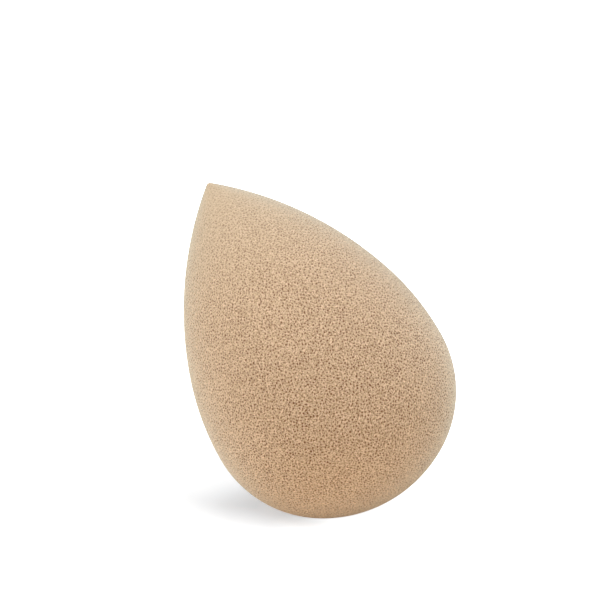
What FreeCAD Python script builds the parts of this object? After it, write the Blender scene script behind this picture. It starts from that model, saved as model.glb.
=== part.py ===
import FreeCAD, Part
import math
import os

# A teardrop makeup sponge: one piece of soft open-cell foam with a pointed tip and a full round
# end. It stands on the side of its round end and leans, with its tip towards -X. The origin is
# the middle of the small flat that it is pressed to where it stands, and +Z is up.
# Lengths are in millimetres and angles in degrees.

# Sizes of the sponge
length = 60.0  # from the tip to the far end of the round end
belly_diameter = 41.4  # across the widest place
belly_from_tip = 40.5  # the widest place, measured from the tip along the sponge
tip_radius = 0.6  # the point is moulded with this rounding

# The side is five arcs that run smoothly into each other. Each angle here is the one between the
# side and the sponge's own axis, where one arc ends and the next begins.
belly_turn = 18.0  # the belly's long arc ends, and the flank begins
tip_half_angle = 49.9  # the flank ends, and the rounding of the tip begins
shoulder_turn = 57.1  # the shoulder, below the belly, ends and the round end begins

# How the sponge stands
lean_angle = 29.2  # how far its own axis leans from upright
rest_flat_depth = 0.5  # how deep the soft foam is pressed flat where it stands

TOWARDS_TIP = -1
TOWARDS_END = 1
SQUARE = 90.0  # the side meets the axis squarely at both ends


def sine(angle):
    return math.sin(math.radians(angle))


def cosine(angle):
    return math.cos(math.radians(angle))


def two_arc_radii(along, inwards, first_turn, last_turn):
    """The radii of two arcs that leave the belly along the axis and run smoothly into each other.

    The first turns by first_turn and the second goes on to last_turn. Together they advance by
    along and come closer to the axis by inwards.
    """
    along_shares = (sine(first_turn), sine(last_turn) - sine(first_turn))
    inward_shares = (1 - cosine(first_turn), cosine(first_turn) - cosine(last_turn))
    scale = along_shares[0] * inward_shares[1] - along_shares[1] * inward_shares[0]
    first_radius = (along * inward_shares[1] - inwards * along_shares[1]) / scale
    second_radius = (inwards * along_shares[0] - along * inward_shares[0]) / scale
    return first_radius, second_radius


def side_point(from_tip, from_axis):
    """A point of the outline. The sponge is upright here, with its tip at the top."""
    return FreeCAD.Vector(from_axis, 0, length - from_tip)


def side_arc(start, radius, turns, towards):
    """One arc of the outline, curving in from a point, and the point where it ends."""
    def place(turn):
        along = radius * (sine(turn) - sine(turns[0]))
        inwards = radius * (cosine(turns[0]) - cosine(turn))
        return start[0] + towards * along, start[1] - inwards

    middle = place((turns[0] + turns[1]) / 2)
    end = place(turns[1])
    edge = Part.Arc(side_point(*start), side_point(*middle), side_point(*end)).toShape()
    return edge, end


def half_outline():
    """Half of the lengthwise section: the side from tip to round end, closed along the axis."""
    belly_radius = belly_diameter / 2
    belly = (belly_from_tip, belly_radius)
    belly_arc_radius, flank_radius = two_arc_radii(
        belly_from_tip - tip_radius * (1 - sine(tip_half_angle)),
        belly_radius - tip_radius * cosine(tip_half_angle),
        belly_turn,
        tip_half_angle,
    )
    shoulder_radius, end_radius = two_arc_radii(
        length - belly_from_tip, belly_radius, shoulder_turn, SQUARE
    )

    belly_edge, at = side_arc(belly, belly_arc_radius, (0, belly_turn), TOWARDS_TIP)
    flank_edge, at = side_arc(at, flank_radius, (belly_turn, tip_half_angle), TOWARDS_TIP)
    tip_edge, tip = side_arc(at, tip_radius, (tip_half_angle, SQUARE), TOWARDS_TIP)
    shoulder_edge, at = side_arc(belly, shoulder_radius, (0, shoulder_turn), TOWARDS_END)
    end_edge, end = side_arc(at, end_radius, (shoulder_turn, SQUARE), TOWARDS_END)
    axis_edge = Part.makeLine(side_point(*end), side_point(*tip))
    return Part.Wire([tip_edge, flank_edge, belly_edge, shoulder_edge, end_edge, axis_edge])


def upright_sponge():
    """The foam as it comes out of its mould: a body of revolution about Z."""
    section = Part.Face(half_outline())
    return section.revolve(FreeCAD.Vector(0, 0, 0), FreeCAD.Vector(0, 0, 1), 360)


def lowest_point(shape):
    """Where the shape would touch a floor that rises under it."""
    floor_below = Part.makePlane(
        4 * length, 4 * length, FreeCAD.Vector(-2 * length, -2 * length, -2 * length)
    )
    pairs = shape.distToShape(floor_below)[1]
    return pairs[0][0]


def standing_sponge():
    """The sponge leaned over, pressed flat where it stands, with the flat's middle at 0, 0, 0."""
    sponge = upright_sponge()
    sponge.rotate(FreeCAD.Vector(0, 0, 0), FreeCAD.Vector(0, 1, 0), -lean_angle)
    lowest = lowest_point(sponge)
    sponge.translate(FreeCAD.Vector(-lowest.x, 0, -lowest.z - rest_flat_depth))

    under_floor = Part.makeBox(
        4 * length, 4 * length, length, FreeCAD.Vector(-2 * length, -2 * length, -length)
    )
    sponge = sponge.cut(under_floor).Solids[0]
    rest_flat = next(face for face in sponge.Faces if isinstance(face.Surface, Part.Plane))
    sponge.translate(FreeCAD.Vector(-rest_flat.CenterOfMass.x, 0, 0))
    return sponge


os.makedirs("parts", exist_ok=True)
foam_sponge = standing_sponge()
foam_sponge.exportStep("parts/foam_sponge.step")
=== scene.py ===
import math

import bpy
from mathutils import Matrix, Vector


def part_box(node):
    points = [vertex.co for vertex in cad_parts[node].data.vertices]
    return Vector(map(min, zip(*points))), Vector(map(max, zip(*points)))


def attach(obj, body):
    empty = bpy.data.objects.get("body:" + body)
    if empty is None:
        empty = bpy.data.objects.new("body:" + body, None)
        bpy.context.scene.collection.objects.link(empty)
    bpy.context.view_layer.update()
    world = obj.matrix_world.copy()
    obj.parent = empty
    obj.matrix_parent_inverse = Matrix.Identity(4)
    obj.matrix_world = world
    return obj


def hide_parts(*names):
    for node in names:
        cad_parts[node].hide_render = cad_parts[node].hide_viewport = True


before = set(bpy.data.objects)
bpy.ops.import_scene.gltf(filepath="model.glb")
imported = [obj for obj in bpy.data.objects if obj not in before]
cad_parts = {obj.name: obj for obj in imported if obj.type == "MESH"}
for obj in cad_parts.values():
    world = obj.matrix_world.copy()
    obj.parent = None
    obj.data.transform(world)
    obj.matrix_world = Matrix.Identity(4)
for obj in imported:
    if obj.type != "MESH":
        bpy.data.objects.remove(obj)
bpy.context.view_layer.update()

MM = 0.001  # Blender's lengths are metres

# The view
# The sponge fills the middle of a square picture. It is seen from a little above, and from far
# enough away that its outline is close to its true one.
view_target = Vector((-3.77, 0, 35.4)) * MM
view_distance = 600 * MM
view_elevation = math.radians(13)

toward_camera = Vector((0, -math.cos(view_elevation), math.sin(view_elevation)))
camera = bpy.data.objects.new("camera", bpy.data.cameras.new("camera"))
camera.data.lens = 222.2  # millimetres, on the default sensor of 36 mm
camera.location = view_target + toward_camera * view_distance
camera.rotation_euler = toward_camera.to_track_quat("Z", "Y").to_euler()
bpy.context.scene.collection.objects.link(camera)
bpy.context.scene.camera = camera

# The sponge
# One block of soft polyurethane foam. It is foamed in a teardrop mould and its skin is ground
# off, so that its cells are open. Nothing is fixed to it, and it is pressed flat where it stands.
length = 60 * MM
belly_diameter = 41.4 * MM
belly_from_tip = 40.5 * MM
tip_radius = 0.6 * MM
lean = math.radians(29.2)
# Between the side and the sponge's own axis, where one arc of the side runs into the next
tip_half_angle = math.radians(49.9)
belly_turn = math.radians(18)
shoulder_turn = math.radians(57.1)

points_per_arc = 120
squares_along_side = 400  # of each of the six grids that the skin is made of

pore_gap = 0.43 * MM  # the least distance between the middles of two pores
most_pores = 12 / MM ** 2  # on a square metre, which is more than that gap leaves room for
narrow_pore = 0.11 * MM  # radii of the pores
wide_pore = 0.22 * MM
pore_depth = 0.19 * MM
shallowest_pore = 0.35  # as a share of that depth
pore_raggedness = 0.30 * MM  # how far the waves in a rim reach, from inmost to outmost
pore_wave = 0.30 * MM  # the length of these waves

# How open the foam is, from 0 to 1, at the tip and on the flank, and where it is fully open.
# Places are shares of the side's length, from the tip
tip_openness = 0.24
flank_openness = 0.84
flank_place = 0.30
open_place = 0.6


def two_arc_radii(along, inwards, first_turn, last_turn):
    """The radii of two arcs that leave the belly along the axis and run smoothly on."""
    first_along = math.sin(first_turn)
    second_along = math.sin(last_turn) - first_along
    first_inwards = 1 - math.cos(first_turn)
    second_inwards = math.cos(first_turn) - math.cos(last_turn)
    scale = first_along * second_inwards - second_along * first_inwards
    first_radius = (along * second_inwards - inwards * second_along) / scale
    second_radius = (inwards * first_along - along * first_inwards) / scale
    return first_radius, second_radius


belly_arc_radius, flank_radius = two_arc_radii(
    belly_from_tip - tip_radius * (1 - math.sin(tip_half_angle)),
    belly_diameter / 2 - tip_radius * math.cos(tip_half_angle),
    belly_turn,
    tip_half_angle,
)
shoulder_radius, end_radius = two_arc_radii(
    length - belly_from_tip, belly_diameter / 2, shoulder_turn, math.pi / 2
)


def add(tree, kind, inputs, output=0, **settings):
    """Adds a node with its settings, gives its inputs their values or links, and returns one of
    its outputs. An input is known by its number, or by its name among those in use."""
    node = tree.nodes.new(kind)
    for name, value in settings.items():
        setattr(node, name, value)
    for name, value in inputs.items():
        socket = node.inputs[name] if isinstance(name, int) else next(
            s for s in node.inputs if s.name == name and s.enabled)
        if isinstance(value, bpy.types.NodeSocket):
            tree.links.new(value, socket)
        else:
            socket.default_value = value
    return node.outputs[output]


def linear(hex_colour):
    """A colour's linear values and an alpha of 1, from its sRGB hex code."""
    parts = [int(hex_colour[i:i + 2], 16) / 255 for i in (1, 3, 5)]
    return [p / 12.92 if p <= 0.04045 else ((p + 0.055) / 1.055) ** 2.4 for p in parts] + [1]


# Open-cell polyurethane foam, moulded and ground: matt and tan right through. Painted shade makes it
# darker and warmer down in its cells, and loose ends of cell wall catch the light wherever the
# surface is seen at a slant. Between the pores, walls and smaller cells make a fine grain. The real
# grain is finer than a pixel, and is drawn as coarse as the render needs. The closer-grained tip is
# paler and greyer.
dark_wall = linear("#C1A37F")
pale_wall = linear("#EED0B1")
# painted shade down in the pores, where the light cannot reach
painted_pore_shade = linear("#6C3400")
close_grain = linear("#BBA88E")
loose_ends = linear("#F2FFF7")
wall_width = 0.22 * MM
darkest_wall = 0.33  # where in the walls' noise, from 0 to 1, each of the two wall colours is full
palest_wall = 0.73
patch_width = 4 * MM  # faint patches, paler and darker
patch_strength = 0.05
small_cell_width = 0.2 * MM
small_cell_rim = 0.6  # how far from a small cell's middle, in cell widths, it begins and is deepest
small_cell_bottom = 0.01
small_cell_depth = 0.05 * MM
# how fast the painted shade fills a pore; it is full well before the pore's bottom
pore_shade_strength = 2.5  # a pore is as dark as it gets well before its bottom

foam = bpy.data.materials.new("open_cell_polyurethane_foam")
foam.use_nodes = True
tree = foam.node_tree
tree.nodes.clear()
hollow = add(tree, "ShaderNodeAttribute", {}, output="Fac", attribute_name="hollow")
openness = add(tree, "ShaderNodeAttribute", {}, output="Fac", attribute_name="openness")
place = add(tree, "ShaderNodeAttribute", {}, output="Vector", attribute_name="place")
patches = add(tree, "ShaderNodeTexNoise", {"Vector": place, "Scale": 1 / patch_width, "Detail": 2.0})
walls = add(tree, "ShaderNodeTexNoise", {"Vector": place, "Scale": 1 / wall_width, "Detail": 1.0})
paleness = add(tree, "ShaderNodeMath", {
    0: patches, 1: patch_strength, 2: walls,
}, operation="MULTIPLY_ADD")
wall_colour = add(tree, "ShaderNodeMix", {
    "Factor": add(tree, "ShaderNodeMapRange", {
        "Value": paleness, "From Min": darkest_wall, "From Max": palest_wall,
    }),
    "A": dark_wall, "B": pale_wall,
}, output=2, data_type="RGBA")
small_cells = add(tree, "ShaderNodeTexVoronoi", {"Vector": place, "Scale": 1 / small_cell_width})
small_hollow = add(tree, "ShaderNodeMapRange", {
    "Value": small_cells, "From Min": small_cell_rim, "From Max": small_cell_bottom,
}, interpolation_type="SMOOTHSTEP")
# how much painted shade there is, in the pores and in the small cells
painted_shade_share = add(tree, "ShaderNodeMath", {
    0: hollow, 1: pore_shade_strength, 2: small_hollow,
}, operation="MULTIPLY_ADD", use_clamp=True)
open_foam = add(tree, "ShaderNodeMix", {
    "Factor": painted_shade_share, "A": wall_colour, "B": painted_pore_shade,
}, output=2, data_type="RGBA")
colour = add(tree, "ShaderNodeMix", {
    "Factor": openness, "A": close_grain, "B": open_foam,
}, output=2, data_type="RGBA")
uneven = add(tree, "ShaderNodeBump", {
    "Strength": 0.5, "Distance": small_cell_depth, "Height": small_hollow,
}, invert=True)
surface = add(tree, "ShaderNodeBsdfPrincipled", {
    "Base Color": colour, "Roughness": 0.95, "IOR": 1.5, "Specular IOR Level": 0.2,
    "Sheen Weight": 0.75, "Sheen Roughness": 0.5, "Sheen Tint": loose_ends, "Normal": uneven,
})
tree.links.new(surface, tree.nodes.new("ShaderNodeOutputMaterial").inputs["Surface"])

tree = bpy.data.node_groups.new("teardrop_of_foam", "GeometryNodeTree")
sizes = {
    "Points Per Arc": points_per_arc,
    "Squares Along Side": squares_along_side,
    "Length": length,
    "Tip Radius": tip_radius,
    "Flank Radius": flank_radius,
    "Belly Arc Radius": belly_arc_radius,
    "Shoulder Radius": shoulder_radius,
    "End Radius": end_radius,
    "Tip Half Angle": tip_half_angle,
    "Belly Turn": belly_turn,
    "Shoulder Turn": -shoulder_turn,
    "Lean": -lean,
    "Highest Corner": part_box("foam_sponge")[1],
    "Tip Openness": tip_openness,
    "Flank Openness": flank_openness,
    "Flank Place": flank_place,
    "Open Place": open_place,
    "Pore Gap": pore_gap,
    "Most Pores": most_pores,
    "Narrow Pore": narrow_pore,
    "Wide Pore": wide_pore,
    "Pore Depth": pore_depth,
    "Shallowest Pore": shallowest_pore,
    "Pore Raggedness": pore_raggedness,
    "Pore Waves Per Metre": 1 / pore_wave,
    "Seed": 4,
}
socket_types = {float: "NodeSocketFloat", int: "NodeSocketInt", Vector: "NodeSocketVector"}
identifiers = {
    name: tree.interface.new_socket(
        name=name, in_out="INPUT", socket_type=socket_types[type(value)]).identifier
    for name, value in sizes.items()
}
tree.interface.new_socket(name="Geometry", in_out="OUTPUT", socket_type="NodeSocketGeometry")
given = tree.nodes.new("NodeGroupInput").outputs

# Half of the outline, in its own plane: five arcs from the tip to the round end, X from the axis
quarter = math.pi / 2
arcs = [
    (given["Tip Radius"], quarter, given["Tip Half Angle"]),
    (given["Flank Radius"], given["Tip Half Angle"], given["Belly Turn"]),
    (given["Belly Arc Radius"], given["Belly Turn"], 0.0),
    (given["Shoulder Radius"], 0.0, given["Shoulder Turn"]),
    (given["End Radius"], given["Shoulder Turn"], -quarter),
]
from_end = add(tree, "ShaderNodeMath", {
    0: given["Length"], 1: given["Tip Radius"],
}, operation="SUBTRACT")
centre = add(tree, "ShaderNodeCombineXYZ", {"Y": from_end})
placed_arcs = []
for number, (radius, start, end) in enumerate(arcs):
    if number:
        facing = add(tree, "ShaderNodeCombineXYZ", {
            "X": add(tree, "ShaderNodeMath", {0: start}, operation="COSINE"),
            "Y": add(tree, "ShaderNodeMath", {0: start}, operation="SINE"),
        })
        step = add(tree, "ShaderNodeMath", {
            0: arcs[number - 1][0], 1: radius,
        }, operation="SUBTRACT")
        centre = add(tree, "ShaderNodeVectorMath", {
            0: facing, 1: step, 2: centre,
        }, operation="MULTIPLY_ADD")
    sweep = add(tree, "ShaderNodeMath", {0: end, 1: start}, operation="SUBTRACT")
    arc = add(tree, "GeometryNodeCurveArc", {
        "Resolution": given["Points Per Arc"],
        "Radius": radius, "Start Angle": start, "Sweep Angle": sweep,
    })
    placed_arcs.append(add(tree, "GeometryNodeTransform", {
        "Geometry": arc, "Translation": centre,
    }))
outline = tree.nodes.new("GeometryNodeJoinGeometry")
for arc in reversed(placed_arcs):
    tree.links.new(arc, outline.inputs[0])
outline = outline.outputs[0]

# Six square grids make a cube that reaches 1 each way from its middle, and each grid has its own
# sixth of the map for baking
half_cube = 1.0
weld_gap = 0.0001
columns = 3  # of the map
rows = 2
map_margin = 0.004
corners_along_side = add(tree, "ShaderNodeMath", {0: given["Squares Along Side"], 1: 1.0})
grid = add(tree, "GeometryNodeMeshGrid", {
    "Size X": 2 * half_cube, "Size Y": 2 * half_cube,
    "Vertices X": corners_along_side, "Vertices Y": corners_along_side,
})
grid_map = grid.node.outputs["UV Map"]
sides = tree.nodes.new("GeometryNodeJoinGeometry")
turned_sides = [
    (0, 0, 0), (quarter, 0, 0), (2 * quarter, 0, 0), (3 * quarter, 0, 0),
    (0, quarter, 0), (0, -quarter, 0),
]
for number, turned in enumerate(turned_sides):
    row, column = divmod(number, columns)
    on_map = add(tree, "ShaderNodeVectorMath", {
        0: grid_map,
        1: (1 / columns - 2 * map_margin, 1 / rows - 2 * map_margin, 0),
        2: (column / columns + map_margin, row / rows + map_margin, 0),
    }, operation="MULTIPLY_ADD")
    mapped = add(tree, "GeometryNodeStoreNamedAttribute", {
        "Geometry": grid, "Name": "OFBake", "Value": on_map,
    }, data_type="FLOAT2", domain="CORNER")
    lifted = add(tree, "GeometryNodeTransform", {
        "Geometry": mapped, "Translation": (0, 0, half_cube),
    })
    side = add(tree, "GeometryNodeTransform", {"Geometry": lifted, "Rotation": turned})
    tree.links.new(side, sides.inputs[0])
cube = add(tree, "GeometryNodeMergeByDistance", {
    "Geometry": sides.outputs[0], "Distance": weld_gap,
})

# The cube is swollen to a ball of even squares, and the ball is drawn out to the outline
here = add(tree, "GeometryNodeInputPosition", {})
turns = add(tree, "ShaderNodeVectorMath", {0: here, 1: (quarter / 2,) * 3}, operation="MULTIPLY")
swollen = add(tree, "ShaderNodeVectorMath", {0: turns}, operation="TANGENT")
ball = add(tree, "ShaderNodeVectorMath", {0: swollen}, operation="NORMALIZE")
height = add(tree, "ShaderNodeSeparateXYZ", {0: ball}, output="Z")
slope = add(tree, "ShaderNodeMath", {0: height}, operation="ARCCOSINE")
from_tip = add(tree, "ShaderNodeMath", {0: slope, 1: math.pi}, operation="DIVIDE")
level = add(tree, "ShaderNodeVectorMath", {0: ball, 1: (1, 1, 0)}, operation="MULTIPLY")
sideways = add(tree, "ShaderNodeVectorMath", {0: level}, operation="NORMALIZE")
outline_point = add(tree, "ShaderNodeSeparateXYZ", {
    0: add(tree, "GeometryNodeSampleCurve", {
        "Curves": outline, "Factor": from_tip,
    }, output="Position", mode="FACTOR", use_all_curves=True),
}).node.outputs
upright = add(tree, "ShaderNodeVectorMath", {
    0: sideways, 1: outline_point["X"],
    2: add(tree, "ShaderNodeCombineXYZ", {"Z": outline_point["Y"]}),
}, operation="MULTIPLY_ADD")
leaned = add(tree, "ShaderNodeVectorRotate", {
    "Vector": upright, "Angle": given["Lean"],
}, rotation_type="Y_AXIS")
near_tip = add(tree, "ShaderNodeMapRange", {
    "Value": from_tip, "From Min": 0.0, "From Max": given["Flank Place"],
    "To Min": given["Tip Openness"], "To Max": given["Flank Openness"],
})
openness = add(tree, "ShaderNodeMapRange", {
    "Value": from_tip, "From Min": given["Flank Place"], "From Max": given["Open Place"],
    "To Min": near_tip, "To Max": 1.0,
})
known = add(tree, "GeometryNodeStoreNamedAttribute", {
    "Geometry": cube, "Name": "openness", "Value": openness,
}, data_type="FLOAT", domain="POINT")
teardrop = add(tree, "GeometryNodeSetPosition", {"Geometry": known, "Position": leaned})

# It is hung in the frame from its highest corner, and pressed flat on the floor below it
own_corner = add(tree, "GeometryNodeBoundBox", {"Geometry": teardrop}, output="Max")
to_corner = add(tree, "ShaderNodeVectorMath", {
    0: given["Highest Corner"], 1: own_corner,
}, operation="SUBTRACT")
stood = add(tree, "GeometryNodeSetPosition", {
    "Geometry": teardrop,
    "Offset": add(tree, "ShaderNodeVectorMath", {0: to_corner, 1: (1, 0, 1)}, operation="MULTIPLY"),
})
floor_level = (-length, -length, 0)  # in X and Y it is beyond every point, and moves none
pressed = add(tree, "GeometryNodeSetPosition", {
    "Geometry": stood,
    "Position": add(tree, "ShaderNodeVectorMath", {0: here, 1: floor_level}, operation="MAXIMUM"),
})
skin = add(tree, "GeometryNodeStoreNamedAttribute", {
    "Geometry": pressed, "Name": "place", "Value": here,
}, data_type="FLOAT_VECTOR", domain="POINT")

# Pores, each where a cell of the foam is cut open: evenly spread, of mixed widths, ragged
pores = add(tree, "GeometryNodeDistributePointsOnFaces", {
    "Mesh": skin, "Distance Min": given["Pore Gap"], "Density Max": given["Most Pores"],
    "Seed": given["Seed"],
}, distribute_method="POISSON")
waves = add(tree, "ShaderNodeTexNoise", {
    "Vector": here, "Scale": given["Pore Waves Per Metre"], "Detail": 1.0,
}, output="Color")
to_and_fro = add(tree, "ShaderNodeVectorMath", {0: waves, 1: (0.5, 0.5, 0.5)}, operation="SUBTRACT")
ragged = add(tree, "ShaderNodeVectorMath", {
    0: to_and_fro, 1: given["Pore Raggedness"], 2: here,
}, operation="MULTIPLY_ADD")
nearest = add(tree, "GeometryNodeProximity", {
    "Geometry": pores, "Sample Position": ragged,
}, target_element="POINTS")
pick = add(tree, "ShaderNodeTexWhiteNoise", {"Vector": nearest})
own_radius = add(tree, "ShaderNodeMapRange", {
    "Value": pick, "To Min": given["Narrow Pore"], "To Max": given["Wide Pore"],
})
own_depth = add(tree, "ShaderNodeMapRange", {
    "Value": add(tree, "ShaderNodeSeparateXYZ", {0: pick.node.outputs["Color"]}, output="Y"),
    "To Min": given["Shallowest Pore"],
})
hollow = add(tree, "ShaderNodeMapRange", {
    "Value": nearest.node.outputs["Distance"], "From Min": own_radius, "From Max": 0.0,
}, interpolation_type="SMOOTHSTEP")
hollow = add(tree, "ShaderNodeMath", {0: hollow, 1: own_depth}, operation="MULTIPLY")
# the same hollow sets the painted shade in the foam's colour
marked = add(tree, "GeometryNodeStoreNamedAttribute", {
    "Geometry": skin, "Name": "hollow", "Value": hollow,
}, data_type="FLOAT", domain="POINT")
stored = add(tree, "GeometryNodeInputNamedAttribute", {"Name": "openness"}, data_type="FLOAT")
deepest = add(tree, "ShaderNodeMath", {0: stored, 1: given["Pore Depth"]}, operation="MULTIPLY")
depth = add(tree, "ShaderNodeMath", {0: hollow, 1: deepest}, operation="MULTIPLY")
inwards = add(tree, "ShaderNodeVectorMath", {
    0: add(tree, "GeometryNodeInputNormal", {}), "Scale": -1.0,
}, operation="SCALE")
pored = add(tree, "GeometryNodeSetPosition", {
    "Geometry": marked,
    "Offset": add(tree, "ShaderNodeVectorMath", {0: inwards, 1: depth}, operation="MULTIPLY"),
})
smooth = add(tree, "GeometryNodeSetShadeSmooth", {"Geometry": pored})
real = add(tree, "GeometryNodeRealizeInstances", {"Geometry": smooth})
finished = add(tree, "GeometryNodeSetMaterial", {"Geometry": real, "Material": foam})
tree.links.new(finished, tree.nodes.new("NodeGroupOutput").inputs["Geometry"])

sponge = bpy.data.objects.new("teardrop_sponge", bpy.data.meshes.new("seed"))
bpy.context.scene.collection.objects.link(sponge)
modifier = sponge.modifiers.new("teardrop_of_foam", "NODES")
modifier.node_group = tree
for name, value in sizes.items():
    modifier[identifiers[name]] = value
evaluated = sponge.evaluated_get(bpy.context.evaluated_depsgraph_get())
sponge_mesh = bpy.data.meshes.new_from_object(evaluated)
if sponge_mesh.materials[0] is None:  # the grids bring an unused slot of their own
    sponge_mesh.materials.pop(index=0)
sponge.modifiers.remove(modifier)
sponge.data = sponge_mesh

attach(sponge, "root")
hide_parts("foam_sponge")

# The floor
# A wide sheet of matt white paper, so bright to the camera that only the sponge's shadow shows,
# a grey one that reaches to the left and fades before it reaches the right, where a painted glow
# washes it out.
half_width = 2.0
corners = [
    (x * half_width, y * half_width, 0) for x, y in [(-1, -1), (1, -1), (1, 1), (-1, 1)]
]
floor = bpy.data.objects.new("floor", bpy.data.meshes.new("floor"))
floor.data.from_pydata(corners, [], [(0, 1, 2, 3)])
bpy.context.scene.collection.objects.link(floor)

# Matt white paper: no gloss, and a glow of 1 is white
paper = bpy.data.materials.new("matt_white_paper")
paper.use_nodes = True
tree = paper.node_tree
tree.nodes.clear()
ray = tree.nodes.new("ShaderNodeLightPath").outputs
seen = add(tree, "ShaderNodeMath", {
    0: add(tree, "ShaderNodeMath", {
        0: ray["Is Camera Ray"], 1: ray["Is Glossy Ray"],
    }, operation="MAXIMUM"),
    1: ray["Is Transmission Ray"],
}, operation="MAXIMUM")
on_floor = add(tree, "ShaderNodeTexCoord", {}, output="Object")
from_contact = add(tree, "ShaderNodeVectorMath", {0: on_floor}, output="Value", operation="LENGTH")

# To the sponge: plain paper, and close to the contact a painted warm glow of the paper, standing in
# for the warm light that foam and paper pass to and fro. Only the sponge as it is seen gets that
# glow, not the paper, whose shadow it would tint
plain_paper = linear("#F7EBDB")
warm_light = linear("#FFCEA0")
warm_strength = 0.54
warm_edge = 20 * MM  # how far from the contact this light begins, and where it is full
warm_middle = 4 * MM
close = add(tree, "ShaderNodeMapRange", {
    "Value": from_contact, "From Min": warm_edge, "From Max": warm_middle, "To Max": warm_strength,
})
once = add(tree, "ShaderNodeMath", {0: ray["Ray Depth"], 1: 1.5}, operation="LESS_THAN")
warm = add(tree, "ShaderNodeEmission", {
    "Color": warm_light,
    "Strength": add(tree, "ShaderNodeMath", {0: close, 1: once}, operation="MULTIPLY"),
})
plain = add(tree, "ShaderNodeBsdfDiffuse", {"Color": plain_paper})
lighting = add(tree, "ShaderNodeAddShader", {0: plain, 1: warm})

# To the camera: paper that is a little cool, most of all close by, because the tan sponge throws
# warm light on it and its shadow is grey all the same
shadow_paper = linear("#E6F3FF")
outer_paper = linear("#EDF2F6")
shadow_edge = 24 * MM  # how far from the contact the cooler colour begins, and where it is full
shadow_middle = 11 * MM
shade = add(tree, "ShaderNodeMix", {
    "Factor": add(tree, "ShaderNodeMapRange", {
        "Value": from_contact, "From Min": shadow_edge, "From Max": shadow_middle,
    }),
    "A": outer_paper, "B": shadow_paper,
}, output=2, data_type="RGBA")
bright = add(tree, "ShaderNodeBsdfDiffuse", {"Color": shade})

# To the camera it glows more to the right and further out, a painted light that washes the shadow
# out there, but stays dim in an oval behind the sponge, where the shadow is seen only from behind
dim_glow = 0.18
full_glow = 0.98
outer_glow = 1.1  # white even where the lamps' light falls off
shorten = (1, 0.55, 1)  # makes a circle of the oval, and the next three lengths are that circle's
oval_middle = (-0.5 * MM, 8 * MM, 0)
oval_dim_radius = 6.5 * MM
oval_radius = 9.4 * MM
to_the_right = (0.991, -0.134, 0)
wash_begins = -11.2 * MM  # rightwards from the contact
wash_full = 2 * MM
ring_middle = (-9.3 * MM, 17.5 * MM, 0)  # round the shadow, from where the glow grows outwards
ring_inner_radius = 16 * MM
ring_outer_radius = 56 * MM
shortened = add(tree, "ShaderNodeVectorMath", {0: on_floor, 1: shorten}, operation="MULTIPLY")
behind = add(tree, "ShaderNodeVectorMath", {
    0: shortened, 1: oval_middle,
}, output="Value", operation="DISTANCE")
brightest = add(tree, "ShaderNodeMapRange", {
    "Value": behind, "From Min": oval_dim_radius, "From Max": oval_radius,
    "To Min": dim_glow, "To Max": full_glow,
})
rightwards = add(tree, "ShaderNodeVectorMath", {
    0: on_floor, 1: to_the_right,
}, output="Value", operation="DOT_PRODUCT")
wash = add(tree, "ShaderNodeMapRange", {
    "Value": rightwards, "From Min": wash_begins, "From Max": wash_full,
    "To Min": dim_glow, "To Max": brightest,
})
outwards = add(tree, "ShaderNodeVectorMath", {
    0: on_floor, 1: ring_middle,
}, output="Value", operation="DISTANCE")
away = add(tree, "ShaderNodeMapRange", {
    "Value": outwards, "From Min": ring_inner_radius, "From Max": ring_outer_radius,
    "To Min": dim_glow, "To Max": outer_glow,
})
glow = add(tree, "ShaderNodeEmission", {
    "Strength": add(tree, "ShaderNodeMath", {0: wash, 1: away}, operation="MAXIMUM"),
})
chosen = add(tree, "ShaderNodeMixShader", {
    0: seen, 1: lighting, 2: add(tree, "ShaderNodeAddShader", {0: bright, 1: glow}),
})
tree.links.new(chosen, tree.nodes.new("ShaderNodeOutputMaterial").inputs["Surface"])
floor.data.materials.append(paper)

# The light
# A pale studio all round, which is white to the camera, and five soft boxes: one overhead, one on
# the right and two on the left of the camera, and one behind the sponge.
world = bpy.data.worlds.new("studio")
bpy.context.scene.world = world
world.use_nodes = True
tree = world.node_tree
tree.nodes.clear()
ray = tree.nodes.new("ShaderNodeLightPath").outputs
seen = add(tree, "ShaderNodeMath", {
    0: add(tree, "ShaderNodeMath", {
        0: ray["Is Camera Ray"], 1: ray["Is Glossy Ray"],
    }, operation="MAXIMUM"),
    1: ray["Is Transmission Ray"],
}, operation="MAXIMUM")
white = linear("#FFFFFF")
dome_strength = 0.19
backdrop_strength = 1.0
dome = add(tree, "ShaderNodeBackground", {"Color": white, "Strength": dome_strength})
backdrop = add(tree, "ShaderNodeBackground", {"Color": white, "Strength": backdrop_strength})
chosen = add(tree, "ShaderNodeMixShader", {0: seen, 1: dome, 2: backdrop})
tree.links.new(chosen, tree.nodes.new("ShaderNodeOutputWorld").inputs["Surface"])

lamp_distance = 0.6
lamp_width = 0.35
lamps = [
    # name, degrees to the right of the camera, degrees up, watts
    ("overhead", 0, 88, 1.47),
    ("right", 50, 55, 1.55),
    ("left", -90, 35, 1.8),
    ("front_left", -45, 55, 0.69),
    ("back", 135, 30, 0.63),
]
for name, degrees_right, degrees_up, watts in lamps:
    lamp = bpy.data.objects.new(name, bpy.data.lights.new(name, "AREA"))
    lamp.data.size = lamp_width
    lamp.data.energy = watts
    turn = math.radians(degrees_right)
    elevation = math.radians(degrees_up)
    toward_lamp = Vector((
        math.sin(turn) * math.cos(elevation),
        -math.cos(turn) * math.cos(elevation),
        math.sin(elevation),
    ))
    lamp.location = view_target + toward_lamp * lamp_distance
    lamp.rotation_euler = toward_lamp.to_track_quat("Z", "Y").to_euler()
    bpy.context.scene.collection.objects.link(lamp)

bpy.context.scene.view_settings.view_transform = "Standard"
